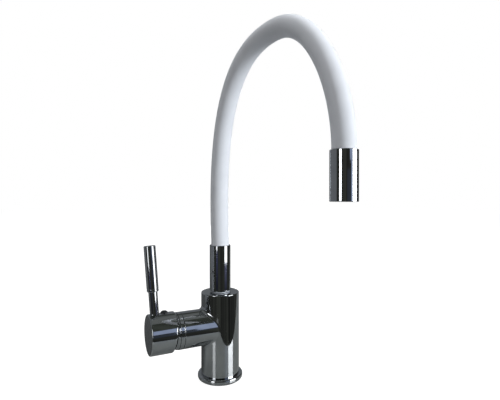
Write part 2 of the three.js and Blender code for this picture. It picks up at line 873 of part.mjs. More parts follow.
function addAerator(group) {
  const foot = nozzleBottom + aeratorRecess;
  const bore = aeratorRadius - aeratorWall;
  const housing = turned([
    [bore - aeratorLip, foot],
    [aeratorRadius, foot],
    [aeratorRadius, foot + aeratorHeight],
    [bore, foot + aeratorHeight],
    [bore, foot + aeratorLipHeight],
    [bore - aeratorLip, foot + aeratorLipHeight],
    [bore - aeratorLip, foot],
  ]);
  piece(group, 'aerator_housing', housing, 'chrome');

  const insertFoot = foot + aeratorLipHeight + seatGap;
  const insertRadius = bore - seatGap;
  const insertTop = insertFoot + insertHeight;
  const cutters = insertRingShares.flatMap(({ share, holes }) => Array.from({ length: holes }, (_, i) => {
    const angle = (2 * Math.PI * i) / holes;
    return rod(insertHoleRadius, insertFoot - overrun, insertTop + overrun, waterHoleRound)
      .translate(share * insertRadius * Math.cos(angle), share * insertRadius * Math.sin(angle), 0);
  }));
  const insert = cut(rod(insertRadius, insertFoot, insertTop), ...cutters);
  piece(group, 'aerator_insert', insert, 'plastic');

  const screenFoot = insertTop + seatGap;
  const screen = ring(screenBore, insertRadius, screenFoot, screenFoot + screenHeight);
  piece(group, 'aerator_screen', screen, 'steel');

  const sealFoot = foot + aeratorHeight + seatGap;
  const seal = ring(bore, aeratorRadius, sealFoot, sealFoot + aeratorSealHeight);
  piece(group, 'aerator_seal', seal, 'rubber');
}

const tap = new THREE.Group();

const body = groupAt(tap, 0, 0, armBearing);
addBase(body);
addBody(body);

const arm = groupAt(body, 0, armHeight);
addCartridge(arm);
addShroud(arm);

// At rest the mixer is turned a little, so the lever leans towards +Y
const mixer = groupAt(arm, 0, 0);
mixer.rotation.x = radians(restTurn);
addMixingDisc(mixer);
addCarrier(mixer);

const stem = groupAt(mixer, pivotReach, 0);
stem.rotation.y = -radians(stemRestAngle);
addStem(stem);

const handle = groupAt(mixer, pivotReach, 0);
addHandle(handle);

const lever = groupAt(handle, leverReach, capRadius);
lever.rotation.y = radians(leverSplay);
addLever(lever);

const spout = groupAt(tap, 0, 0, spoutBearing);
addSpigot(spout);
addSleeve(spout);
addHose(spout);

const outlet = groupAt(spout, spoutReach, 0);
addNozzle(outlet);
addAerator(outlet);

export default tap;
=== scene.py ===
# The looks of the kitchen mixer tap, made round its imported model, in metres with +Z up.

import json
import math
from functools import partial

import bpy
from mathutils import Matrix, Vector
from mathutils.bvhtree import BVHTree
from mathutils.geometry import tessellate_polygon
from mathutils.interpolate import poly_3d_calc


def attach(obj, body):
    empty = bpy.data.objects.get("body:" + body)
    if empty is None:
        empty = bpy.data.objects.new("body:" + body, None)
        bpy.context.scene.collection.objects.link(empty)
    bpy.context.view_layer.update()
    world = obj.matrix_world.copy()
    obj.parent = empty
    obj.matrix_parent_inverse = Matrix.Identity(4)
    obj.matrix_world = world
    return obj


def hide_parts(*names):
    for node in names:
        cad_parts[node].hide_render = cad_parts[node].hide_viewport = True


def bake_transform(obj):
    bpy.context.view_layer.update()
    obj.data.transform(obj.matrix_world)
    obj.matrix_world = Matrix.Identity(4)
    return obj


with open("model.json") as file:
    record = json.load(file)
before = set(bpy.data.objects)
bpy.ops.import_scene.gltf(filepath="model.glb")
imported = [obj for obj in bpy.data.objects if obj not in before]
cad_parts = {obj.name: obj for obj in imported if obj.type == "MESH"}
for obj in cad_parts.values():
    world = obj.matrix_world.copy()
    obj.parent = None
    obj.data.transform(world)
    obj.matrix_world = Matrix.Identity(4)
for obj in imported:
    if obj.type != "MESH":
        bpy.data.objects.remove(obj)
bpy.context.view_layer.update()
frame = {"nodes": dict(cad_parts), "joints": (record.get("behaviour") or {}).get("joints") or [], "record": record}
joints = {joint["name"]: joint for joint in frame["joints"]}

# Steps in a full turn, in a rounded corner and along a curve
LARGE_ROUND = 192
SMALL_ROUND = 96
HOLE_ROUND = 40
CORNER_STEPS = 6
CURVE_STEPS = 24

# The least turn that counts as a corner, and the digits that tell two points apart
LEAST_TURN = 1e-4
POINT_DIGITS = 7

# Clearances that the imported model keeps
SEAT_GAP = 0.0003
PIN_GAP = 0.00015

# How much nearer a face counts as the source of another one if it lies the same way
SAME_WAY_BONUS = SEAT_GAP / 100

# Column and arm
COLUMN_RADIUS = 0.0225
COLUMN_EDGE = 0.0009
FOOT_RADIUS = 0.019
ARM_EDGE = 0.0005
ARM_FILLET = 0.0042
ARM_FILLET_STEPS = 10
ARM_STEPS = 6
CHAMBER_RADIUS = 0.01765
CHAMBER_FLOOR = 0.019
SOCKET_RADIUS = 0.0091
INLET = {"radius": 0.0043, "reach": 0.008, "offset": 0.009, "depth": 0.0585}
STUD = {"radius": 0.0034, "reach": -0.009, "offset": 0.010, "depth": 0.018}

# Base flange, with the groove for the deck seal
FLANGE_LOWER_ROUND = 0.0028
FLANGE_UPPER_ROUND = 0.0022
SEAL_WIDTH = 0.0022
SEAL_GROOVE_DEPTH = 0.0021

# Shroud
SHROUD_EDGE = 0.0004
SHROUD_RING_WALL = 0.0019
SHROUD_RIM_END = 0.0555
SHROUD_MOUTH_RADIUS = 0.0104
SHROUD_SKIRT_RADIUS = 0.0184
SHROUD_WALL = 0.0012

# Handle cap, from the lever's pivot
CAP_WALL = 0.0013
CAP_RIM_ROUND = 0.0012
CAP_RIM_SLANT = math.radians(6.2)
CAP_FACE_ROUND = 0.0012
CAP_BLOCK_START = 0.0226
CAP_HUB = {"radius": 0.0076, "start": 0.0135}
CAP_RIB_WIDTH = 0.008
CAP_OVERLAP = 0.003
STEM_SQUARE = 0.0080
STEM_SOCKET_END = 0.0273
STEM_TILT = math.radians(10)

# Lever, from the cap's top
LEVER_REACH = 0.0288
LEVER_SPLAY = math.radians(3.2)
ROD_SUNK = 0.011
GRIP_EDGE = 0.0007
GROOVE = {"rise": 0.0024, "height": 0.0007, "depth": 0.00035}
TENON_RADIUS = 0.003

# Set screw cover on the cap
COVER_REACH = 0.0181
COVER_SEAT_DEPTH = 0.0015

# Sleeve at the foot of the spout, and its grub screw
SLEEVE_FOOT_EDGE = 0.0009
SLEEVE_TOP_EDGE = 0.0004
SCREW_HEIGHT = 0.1268
SCREW_TURN = math.radians(11)
SCREW_SOCKET = {"radius": 0.0011, "depth": 0.0016, "sides": 6}

# The hose's centre line, as reach and height, and its section
HOSE_RADIUS = 0.01055
HOSE_WALL = 0.0023
HOSE_SIDES = 96
HOSE_EDGE = 0.0006
HOSE_SHARP_TURN = math.radians(40)
CORE_WALL = 0.0014
CORE_SIDES = 48
WATER_HOSE = {"radius": 0.0053, "bore": 0.0042}
SPOUT_REACH = 0.179
SLEEVE_TOP = 0.15755
NOZZLE_TOP = 0.2541
CROWN_REACH = 0.0973
CROWN_HEIGHT = 0.3822
RISER_PULL = 0.0274
CROWN_INNER_PULL = 0.1187
CROWN_OUTER_PULL = 0.0487
OUTLET_PULL = 0.0577
INNER_STEPS = 120
OUTER_STEPS = 96

# Nozzle and aerator
NOZZLE_EDGE = 0.0006
NOZZLE_STEP_HEIGHT = 0.2235
AERATOR_WALL = 0.0013
AERATOR_LIP = 0.0011
AERATOR_LIP_HEIGHT = 0.0015
INSERT_HOLE_RADIUS = 0.0008
INSERT_RING_SHARES = [(0.32, 5), (0.7, 12)]

# Camera
CAMERA_PLACE = Vector((-0.2668, -0.3770, 0.2145))
CAMERA_BEARING = Vector((0.639, 0.769, 0)).normalized()
CAMERA_DIP = math.radians(0.44)
CAMERA_LENS = 27.77
CAMERA_NEAR = 0.01
SENSOR_WIDTH = 36

# Floor and world
FLOOR_CORNERS = [(-6, -6), (6, -6), (6, 6), (-6, 6)]
FLOOR_NOISE_SCALE = 4
FLOOR_TONES = ((0.26, 0.26, 0.26), (0.29, 0.29, 0.29))
FLOOR_ROUGHNESS = 0.9
FLOOR_GLOW = 0.94
WORLD_FILL = 0.24

# Softboxes: bearing in degrees, distance, lower and upper height, width, power and colour
SOFTBOXES = {
    "key_softbox": (61, 2.5, 0.10, 1.80, 0.35, 57, (0.94, 0.97, 1)),
    "back_softbox": (195, 2.5, 0.10, 1.80, 0.8, 16, (1, 1, 1)),
    "top_softbox": (180, 0.1, 1.3, 1.3, 1.0, 7, (1, 1, 1)),
    "front_softbox": (-15, 2.0, 1.4, 2.2, 0.8, 6.5, (1, 1, 1)),
}

# The tones of what the metal shows: a darker colour, a lighter colour and a strength
STREAK_SCALE = 4
TONES = {
    "dark_card": ((0.012, 0.012, 0.012), (0.050, 0.053, 0.046), 1),
    "dim_card": ((0.045, 0.050, 0.042), (0.065, 0.072, 0.062), 1),
    "grey_card": ((0.165, 0.175, 0.185), (0.195, 0.205, 0.220), 1),
    "lilac_card": ((0.33, 0.39, 0.57), (0.40, 0.47, 0.64), 1),
    "mild_card": ((0.055, 0.055, 0.055), (0.075, 0.075, 0.075), 1),
    "navy_card": ((0.030, 0.036, 0.046), (0.060, 0.070, 0.090), 1),
    "left_low_white": ((0.96, 0.98, 1), (1, 1, 1), 2),
    "left_high_white": ((0.96, 0.98, 1), (1, 1, 1), 3.6),
    "right_low_white": ((0.96, 0.98, 1), (1, 1, 1), 3.2),
    "right_high_white": ((0.96, 0.98, 1), (1, 1, 1), 10),
    "roof_card": ((0.13, 0.14, 0.135), (0.20, 0.21, 0.205), 1),
}

# Upright cards: first and last bearing in degrees, lower and upper height, distance, steps and tone
LEFT_WINDOW = 1.12
RIGHT_WINDOW = 0.82
WINDOW_STEP = 0.2
CARDS = {
    "dark_round": (-180, 180, -0.02, 1.2, 1.9, 96, "dark_card"),
    "dim_round": (-180, 180, 1.2, 2.6, 1.9, 96, "dim_card"),
    "grey_behind": (138, 294, 0, 1.5, 1.7, 24, "grey_card"),
    "dim_right": (92, 138, 0, 1.2, 1.7, 24, "mild_card"),
    "blue_right": (14, 50, 0, 0.33, 1.5, 8, "navy_card"),
    "lilac_high": (33, 47, 0.34, 0.82, 1.2, 8, "lilac_card"),
    "lilac_low": (42.5, 51, 0.13, 0.80, 1.19, 6, "lilac_card"),
    "left_window_low": (-39, -25, 0, WINDOW_STEP, LEFT_WINDOW, 8, "left_low_white"),
    "left_window_high": (-40, -24, WINDOW_STEP, 0.8, LEFT_WINDOW, 8, "left_high_white"),
    "right_window_low": (55, 86, 0, WINDOW_STEP, RIGHT_WINDOW, 12, "right_low_white"),
    "right_window_high": (54, 86, WINDOW_STEP, 0.44, RIGHT_WINDOW, 12, "right_high_white"),
}

# Level sheets: corners, height and tone. On the floor they lie over each other, a layer apart
LAYER = 0.0002
ROOM_CORNERS = [(-2, -2), (2, -2), (2, 2), (-2, 2)]
SHEETS = {
    "roof": ([(-2, -0.8), (2, -0.8), (2, 2), (-2, 2)], 2.5, "roof_card"),
    "dim_roof": (ROOM_CORNERS, 2.6, "dim_card"),
    "dark_floor": (ROOM_CORNERS, LAYER, "dark_card"),
    "grey_floor": ([(-0.27, 0.1), (2, 0.1), (2, 2), (-2, 2), (-2, 0.52)], LAYER * 2, "grey_card"),
}

# The grey table, and the bearing in degrees to which it falls to a share of its tone
TABLE_CORNERS = [(-0.2, -0.175), (1.3, 0.125), (1.3, 1.6), (-0.45, 1.6), (-0.28, 0.12)]
# The table's glow is painted light: it brightens the table where the metal shows it, though it is no lamp
TABLE_PAINTED_GLOW = 0.015
TABLE_DARK_SIDE = -130
TABLE_DARK_SHARE = 0.20

# The windows' glimmers on the floor, painted reflections that glow on sheets only the metal shows: first and last
# bearing in degrees, how far they reach, the distance from which they glow fully, a darker and a lighter colour.
# Near the tap they start dimmer
GLIMMER_START = 0.45
GLIMMER_START_GLOW = 0.25
GLIMMERS = {
    "left_glimmer": (-39, -20, LEFT_WINDOW, 0.8, (0.045, 0.050, 0.09), (0.060, 0.066, 0.12)),
    "right_glimmer": (54, 84, RIGHT_WINDOW, RIGHT_WINDOW, (0.13, 0.14, 0.22), (0.17, 0.185, 0.29)),
}


def softened(outline, closed):
    """The outline's points, with its corners rounded: each with the normals before it and after it.

    A point's third value is the radius of its rounding, or None on a smooth curve.
    """
    count = len(outline)
    points = []
    for i, (radius, height, *size) in enumerate(outline):
        here = Vector((radius, height))
        before = Vector(outline[i - 1][:2]) if closed or i else None
        after = Vector(outline[(i + 1) % count][:2]) if closed or i < count - 1 else None
        way_in = (here - before).normalized() if before is not None else (after - here).normalized()
        way_out = (after - here).normalized() if after is not None else way_in
        normal_in = Vector((way_in.y, -way_in.x))
        normal_out = Vector((way_out.y, -way_out.x))
        turn = math.atan2(way_in.x * way_out.y - way_in.y * way_out.x, way_in.dot(way_out))
        if size and size[0] is None:
            middle = (normal_in + normal_out).normalized()
            points.append((here, middle, middle))
        elif size and size[0] > 0 and abs(turn) > LEAST_TURN:
            side = math.copysign(1, turn)
            start = here - way_in * size[0] * math.tan(abs(turn) / 2)
            centre = start - normal_in * size[0] * side
            for step in range(CORNER_STEPS + 1):
                angle = turn * step / CORNER_STEPS
                normal = Matrix.Rotation(angle, 2) @ normal_in
                points.append((centre + normal * size[0] * side, normal, normal))
        else:
            points.append((here, normal_in, normal_out))
    return points


class Skin:
    """A mesh in the making. Its corners carry their own normals, so that reflections run smoothly."""

    def __init__(self, place):
        self.place = place
        self.turn = place.to_3x3()
        self.numbers = {}
        self.points = []
        self.faces = []
        self.normals = []

    def number(self, point):
        """The number of a point, the same for all that lie together."""
        key = tuple(round(value, POINT_DIGITS) for value in point)
        if key not in self.numbers:
            self.numbers[key] = len(self.points)
            self.points.append(self.place @ Vector(point))
        return self.numbers[key]

    def face(self, corners):
        kept = {}
        for point, normal in corners:
            kept.setdefault(self.number(point), normal)
        if len(kept) > 2:
            self.faces.append(list(kept))
            self.normals += [self.turn @ Vector(normal) for normal in kept.values()]

    def strip(self, lower, upper):
        for k in range(len(lower) - 1):
            self.face((lower[k], lower[k + 1], upper[k + 1], upper[k]))

    def rows(self, rows):
        """Faces between rows that share their normals on both sides."""
        for lower, upper in zip(rows, rows[1:]):
            self.strip(lower, upper)

    def turned(self, outline, steps, ring, closed=False):
        """Faces all round an axis. ring gives the points of a ring from its radius, height and normal."""
        points = softened(outline, closed)
        if closed:
            points.append(points[0])
        for (low, _, normal_low), (high, normal_high, _) in zip(points, points[1:]):
            self.strip(ring(low, normal_low, steps), ring(high, normal_high, steps))

    def plate(self, rings, normal):
        """A flat face with a ring round it and rings for holes."""
        corners = [Vector(point) for ring in rings for point in ring]
        for triangle in tessellate_polygon([[Vector(point) for point in ring] for ring in rings]):
            a, b, c = (corners[i] for i in triangle)
            order = (a, b, c) if (b - a).cross(c - a).dot(Vector(normal)) > 0 else (a, c, b)
            self.face([(point, normal) for point in order])

    def piece(self, name):
        mesh = bpy.data.meshes.new(name)
        mesh.from_pydata(self.points, [], self.faces)
        mesh.shade_smooth()
        mesh.normals_split_custom_set(self.normals)
        return in_scene(name, mesh)


def in_scene(name, data):
    """A new object in the scene, from a mesh, a light or a camera."""
    obj = bpy.data.objects.new(name, data)
    bpy.context.scene.collection.objects.link(obj)
    return obj


def upright_ring(point, normal, steps, x=0.0, y=0.0):
    """A ring round an upright axis: its points, each with its normal."""
    ring = []
    for k in range(steps + 1):
        angle = 2 * math.pi * (k % steps) / steps
        across, along = math.cos(angle), math.sin(angle)
        ring.append((
            (x + point.x * across, y + point.x * along, point.y),
            (normal.x * across, normal.x * along, normal.y),
        ))
    return ring


def level_ring(point, normal, steps):
    """The same round the arm's axis, in the tap's frame: +X is along the arm."""
    ring = []
    for k in range(steps + 1):
        angle = 2 * math.pi * (k % steps) / steps
        across, up = math.cos(angle), math.sin(angle)
        ring.append((
            (point.y, point.x * across, ARM_HEIGHT + point.x * up),
            (normal.y, normal.x * across, normal.x * up),
        ))
    return ring


def placed(origin, along, across):
    """The place of a frame whose +Z runs along one direction and whose +X leans towards another."""
    up = Vector(along).normalized()
    side = (Vector(across) - up * up.dot(Vector(across))).normalized()
    turn = Matrix((side, up.cross(side), up)).transposed().to_4x4()
    return Matrix.Translation(origin) @ turn


def measured(node, place):
    """A node's lowest and highest places along a frame's +Z, and how far it reaches out from that axis."""
    inverse = place.inverted()
    points = [inverse @ vertex.co for vertex in frame["nodes"][node].data.vertices]
    heights = [point.z for point in points]
    return min(heights), max(heights), max(math.hypot(point.x, point.y) for point in points)


# Directions and frames of the tap's pieces
UP = Vector((0, 0, 1))
ARM_WAY = Vector(joints["mixer_turn"]["axis"])
PIVOT = Vector(joints["flow_lift"]["pos_m"])
ARM_HEIGHT = PIVOT.z
SPOUT_WAY = Vector((0, -1, 0))
TAP = placed((0, 0, 0), UP, ARM_WAY)
ARM = placed((0, 0, ARM_HEIGHT), ARM_WAY, UP)
HANDLE_UP = ARM_WAY.cross(Vector(joints["flow_lift"]["axis"]))
HANDLE = placed(PIVOT, ARM_WAY, HANDLE_UP)
SPOUT = placed((0, 0, 0), UP, SPOUT_WAY)
OUTLET = placed(SPOUT_WAY * SPOUT_REACH, UP, SPOUT_WAY)
ARM_RADIUS = measured("shroud_ring", ARM)[2]
CAP_RADIUS = measured("handle_cap", HANDLE)[2]
LEVER_WAY = Matrix.Rotation(LEVER_SPLAY, 3, HANDLE_UP.cross(ARM_WAY)) @ HANDLE_UP
LEVER_FOOT = PIVOT + ARM_WAY * LEVER_REACH + HANDLE_UP * CAP_RADIUS
LEVER = placed(LEVER_FOOT, LEVER_WAY, ARM_WAY)


def turned(name, place, outline, steps=LARGE_ROUND, closed=False):
    skin = Skin(place)
    skin.turned(outline, steps, upright_ring, closed)
    return skin.piece(name)


def cylinder(place, radius, low, high, sides=SMALL_ROUND):
    return turned("cutter", place, [(0, low), (radius, low), (radius, high), (0, high)], sides)


def block(place, length, width, height, centre):
    """A box that joins or cuts another piece: its length, width and height run along the place's axes."""
    skin = Skin(place @ Matrix.Translation(centre))
    half = Vector((length, width, height)) / 2
    for axis in range(3):
        for side in (-1, 1):
            normal = Vector((0, 0, 0))
            normal[axis] = side
            first, second = Vector((0, 0, 0)), Vector((0, 0, 0))
            first[(axis + 1) % 3] = half[(axis + 1) % 3]
            second[(axis + 2) % 3] = half[(axis + 2) % 3] * side
            middle = normal * half[axis]
            corners = (-first - second, first - second, first + second, -first + second)
            skin.face([(middle + corner, normal) for corner in corners])
    return skin.piece("cutter")


def surface(piece):
    """A piece's faces for finding the nearest one, with the points and normals of their corners."""
    mesh = piece.data
    points = [vertex.co.copy() for vertex in mesh.vertices]
    faces = [list(face.vertices) for face in mesh.polygons]
    normals = [[mesh.corner_normals[i].vector.copy() for i in face.loop_indices] for face in mesh.polygons]
    corners = [[points[i] for i in face] for face in faces]
    return BVHTree.FromPolygons(points, faces), corners, normals


def combined(piece, operation, *others):
    """Joins pieces to a piece, or cuts them out of it. Each corner keeps the normal that it comes with."""
    sources = [surface(source) for source in (piece, *others)]
    for other in others:
        modifier = piece.modifiers.new("combine", "BOOLEAN")
        modifier.operation = operation
        modifier.solver = "EXACT"
        modifier.object = other
    depsgraph = bpy.context.evaluated_depsgraph_get()
    mesh = bpy.data.meshes.new_from_object(piece.evaluated_get(depsgraph))
    piece.modifiers.clear()
    piece.data = mesh
    for other in others:
        bpy.data.objects.remove(other)
    mesh.shade_smooth()
    normals = [None] * len(mesh.loops)
    for face in mesh.polygons:
        found = []
        for tree, corners, corner_normals in sources:
            _, _, index, distance = tree.find_nearest(face.center)
            lean = abs(sum(corner_normals[index], Vector()).normalized().dot(face.normal))
            found.append((distance - lean * SAME_WAY_BONUS, corners[index], corner_normals[index]))
        _, corners, corner_normals = min(found, key=lambda entry: entry[0])
        for i in face.loop_indices:
            weights = poly_3d_calc(corners, mesh.vertices[mesh.loops[i].vertex_index].co)
            normal = sum((n * weight for n, weight in zip(corner_normals, weights)), Vector()).normalized()
            normals[i] = -normal if normal.dot(face.normal) < 0 else normal
    mesh.normals_split_custom_set(normals)


def finished(piece, body, slot, material, *nodes):
    """Gives a piece its material and its body, and hides the imported nodes that it stands for. The slot is not
    used.
    """
    piece.data.materials.clear()
    piece.data.materials.append(material)
    if body is not None:
        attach(piece, body)
    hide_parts(*nodes)


class Nodes:
    """A short way to write the nodes of a material or a world."""

    def __init__(self, name, kind="materials"):
        self.owner = getattr(bpy.data, kind).new(name)
        self.owner.use_nodes = True
        self.tree = self.owner.node_tree
        self.shader = self.tree.nodes.get("Principled BSDF")

    def fill(self, node, sockets):
        """Links each of these inputs to another node's output, or gives it a plain value."""
        for socket, value in sockets.items():
            if isinstance(value, bpy.types.NodeSocket):
                self.tree.links.new(value, node.inputs[socket])
            else:
                node.inputs[socket].default_value = value

    def node(self, kind, sockets, output, **settings):
        """The output of a new node with these inputs and settings."""
        node = self.tree.nodes.new("ShaderNode" + kind)
        for name, value in settings.items():
            setattr(node, name, value)
        self.fill(node, sockets)
        return node.outputs[output]

    def place(self, scale=(1, 1, 1)):
        """The place on the object, with each axis scaled."""
        place = self.node("TexCoord", {}, "Object")
        return self.node("Mapping", {"Vector": place, "Scale": scale}, "Vector")

    def noise(self, scale, detail=2.0, place=None):
        sockets = {"Vector": place or self.place(), "Scale": scale, "Detail": detail}
        return self.node("TexNoise", sockets, "Fac")

    def ramp(self, value, low, high, start=0.3, end=0.7):
        """A colour that goes from low to high as the value goes from start to end."""
        ramp = self.tree.nodes.new("ShaderNodeValToRGB")
        self.fill(ramp, {"Fac": value})
        for element, position, colour in zip(ramp.color_ramp.elements, (start, end), (low, high)):
            element.position = position
            element.color = (*colour, 1)
        return ramp.outputs["Color"]

    def range(self, value, low, high, start=0.25, end=0.75, kind="LINEAR"):
        """A value that goes from low to high as another one goes from start to end."""
        sockets = {"Value": value, "From Min": start, "From Max": end, "To Min": low, "To Max": high}
        return self.node("MapRange", sockets, "Result", interpolation_type=kind)

    def darker(self, colour, way, share):
        """A colour that falls to a share of itself towards one level direction from the origin."""
        unit = self.node("VectorMath", {0: self.place()}, "Vector", operation="NORMALIZE")
        dot = self.node("VectorMath", {0: unit, 1: way}, "Value", operation="DOT_PRODUCT")
        fall = self.range(dot, 1.0, share, start=0.5, end=0.95, kind="SMOOTHSTEP")
        return self.node("VectorMath", {0: colour, "Scale": fall}, "Vector", operation="SCALE")

    def bump(self, value, distance, strength):
        return self.node("Bump", {"Height": value, "Distance": distance, "Strength": strength}, "Normal")

    def seen_directly(self):
        """1 where the camera, a metal or a glass sees the surface, and 0 for the light that it throws."""
        path = self.tree.nodes.new("ShaderNodeLightPath").outputs
        seen = path["Is Camera Ray"]
        for ray in ("Is Glossy Ray", "Is Transmission Ray"):
            seen = self.node("Math", {0: seen, 1: path[ray]}, "Value", operation="MAXIMUM")
        return seen

    def set(self, colour, roughness, **others):
        """Fills the material's shader, and gives the material."""
        self.fill(self.shader, {"Base Color": colour, "Roughness": roughness})
        self.fill(self.shader, {name.replace("_", " "): value for name, value in others.items()})
        return self.owner


def chrome():
    """Bright plate with a faint bluish tone, wiped marks and the slight waves of a polished casting."""
    nodes = Nodes("chrome_plate")
    wiped = nodes.noise(scale=90, detail=4)
    colour = nodes.ramp(wiped, (0.47, 0.485, 0.505), (0.53, 0.545, 0.56))
    roughness = nodes.range(nodes.noise(scale=260, detail=3), low=0.035, high=0.075)
    waves = nodes.bump(nodes.noise(scale=32, detail=1), distance=0.00004, strength=0.06)
    return nodes.set(colour, roughness, Normal=waves, Metallic=1.0)


def silicone():
    """White silicone with a satin skin, a faint mottling and a very fine grain."""
    nodes = Nodes("white_silicone")
    colour = nodes.ramp(nodes.noise(scale=55, detail=3), (0.79, 0.82, 0.87), (0.84, 0.87, 0.92))
    roughness = nodes.range(nodes.noise(scale=300), low=0.54, high=0.66)
    grain = nodes.bump(nodes.noise(scale=2600), distance=0.00003, strength=0.5)
    return nodes.set(colour, roughness, Normal=grain, Specular_IOR_Level=0.18)


def steel():
    """Stainless steel with fine lines from turning."""
    nodes = Nodes("turned_steel")
    lines = nodes.noise(scale=1, place=nodes.place((300, 300, 6000)))
    colour = nodes.ramp(lines, (0.42, 0.43, 0.44), (0.56, 0.57, 0.58))
    roughness = nodes.range(lines, low=0.22, high=0.36)
    grooves = nodes.bump(lines, distance=0.00002, strength=0.4)
    return nodes.set(colour, roughness, Normal=grooves, Metallic=1.0)


def brass():
    """Turned brass, a little uneven in tone."""
    nodes = Nodes("turned_brass")
    lines = nodes.noise(scale=1, place=nodes.place((300, 300, 5000)))
    colour = nodes.ramp(nodes.noise(scale=120, detail=3), (0.52, 0.36, 0.13), (0.62, 0.46, 0.19))
    roughness = nodes.range(lines, low=0.25, high=0.4)
    grooves = nodes.bump(lines, distance=0.00002, strength=0.4)
    return nodes.set(colour, roughness, Normal=grooves, Metallic=1.0)


def acetal():
    """Moulded acetal, waxy and a little cloudy."""
    nodes = Nodes("moulded_acetal")
    colour = nodes.ramp(nodes.noise(scale=80, detail=3), (0.56, 0.60, 0.66), (0.64, 0.68, 0.74))
    roughness = nodes.range(nodes.noise(scale=240), low=0.38, high=0.52)
    grain = nodes.bump(nodes.noise(scale=1800), distance=0.00003, strength=0.4)
    return nodes.set(colour, roughness, Normal=grain)


def rubber():
    """Black rubber with a dusty bloom."""
    nodes = Nodes("black_rubber")
    colour = nodes.ramp(nodes.noise(scale=140, detail=4), (0.012, 0.012, 0.013), (0.028, 0.028, 0.03))
    roughness = nodes.range(nodes.noise(scale=300), low=0.6, high=0.78)
    grain = nodes.bump(nodes.noise(scale=2200), distance=0.00005, strength=0.5)
    return nodes.set(colour, roughness, Normal=grain)


def ceramic():
    """Lapped ceramic, smooth and close to white."""
    nodes = Nodes("lapped_ceramic")
    colour = nodes.ramp(nodes.noise(scale=160, detail=3), (0.78, 0.77, 0.73), (0.84, 0.83, 0.79))
    return nodes.set(colour, nodes.range(nodes.noise(scale=500), low=0.12, high=0.22))


def cover_plastic():
    """Dark glossy moulding."""
    nodes = Nodes("dark_moulding")
    colour = nodes.ramp(nodes.noise(scale=200, detail=3), (0.012, 0.013, 0.015), (0.022, 0.023, 0.026))
    return nodes.set(colour, nodes.range(nodes.noise(scale=700), low=0.12, high=0.2))


def add_flange(materials):
    _, height, radius = measured("base_flange", TAP)
    seal_radius = measured("deck_seal", TAP)[2]
    groove_inner = seal_radius - SEAL_WIDTH - SEAT_GAP
    groove_outer = seal_radius + SEAT_GAP
    bore = FOOT_RADIUS + SEAT_GAP
    flange = turned("flange_plate", TAP, [
        (bore, 0),
        (groove_inner, 0),
        (groove_inner, SEAL_GROOVE_DEPTH),
        (groove_outer, SEAL_GROOVE_DEPTH),
        (groove_outer, 0),
        (radius, 0, FLANGE_LOWER_ROUND),
        (radius, height, FLANGE_UPPER_ROUND),
        (bore, height, SEAT_GAP),
    ], closed=True)
    finished(flange, "body", "chrome", materials["chrome"], "base_flange")


def arm_ball(angle):
    """Where a ball of the fillet's radius lies that touches the column and, at this angle, the arm."""
    column_reach = COLUMN_RADIUS + ARM_FILLET
    arm_reach = ARM_RADIUS + ARM_FILLET
    side, up = arm_reach * math.cos(angle), arm_reach * math.sin(angle)
    return Vector((math.sqrt(column_reach ** 2 - side ** 2), side, up))


def arm_fillet_rows(steps):
    """Rows of the fillet from the column to the arm, each all round the arm."""
    rows = [[] for _ in range(ARM_FILLET_STEPS + 1)]
    for k in range(steps + 1):
        angle = 2 * math.pi * (k % steps) / steps
        centre = arm_ball(angle)
        to_column = Vector((-centre.x, -centre.y, 0)).normalized()
        to_arm = Vector((0, -math.cos(angle), -math.sin(angle)))
        for step, row in enumerate(rows):
            way = to_column.slerp(to_arm, step / ARM_FILLET_STEPS)
            point = centre + way * ARM_FILLET
            row.append(((point.x, point.y, point.z + ARM_HEIGHT), -way))
    return rows


def column_band_rows(steps, columns):
    """Rows of the column beside the arm, each from one edge of the arm's fillet round to the other."""
    rows = []
    for j in range(steps // 2 + 1):
        centre = arm_ball(math.pi * (2 * j / steps - 0.5))
        edge = math.atan2(centre.y, centre.x)
        row = []
        for k in range(columns + 1):
            angle = edge + (2 * math.pi - 2 * edge) * k / columns
            normal = (math.cos(angle), math.sin(angle), 0)
            point = (COLUMN_RADIUS * normal[0], COLUMN_RADIUS * normal[1], ARM_HEIGHT + centre.z)
            row.append((point, normal))
        rows.append(row)
    return rows


def hole_walls(skin, hole, side):
    """A blind hole in the column's underside, and its ring there."""
    ring = partial(upright_ring, x=hole["reach"], y=hole["offset"] * side)
    skin.turned([(0, hole["depth"]), (hole["radius"], hole["depth"]), (hole["radius"], 0)], HOLE_ROUND, ring)
    rim = ring(Vector((hole["radius"], 0)), Vector((0, 0)), HOLE_ROUND)
    return [point for point, _ in rim[:-1]]


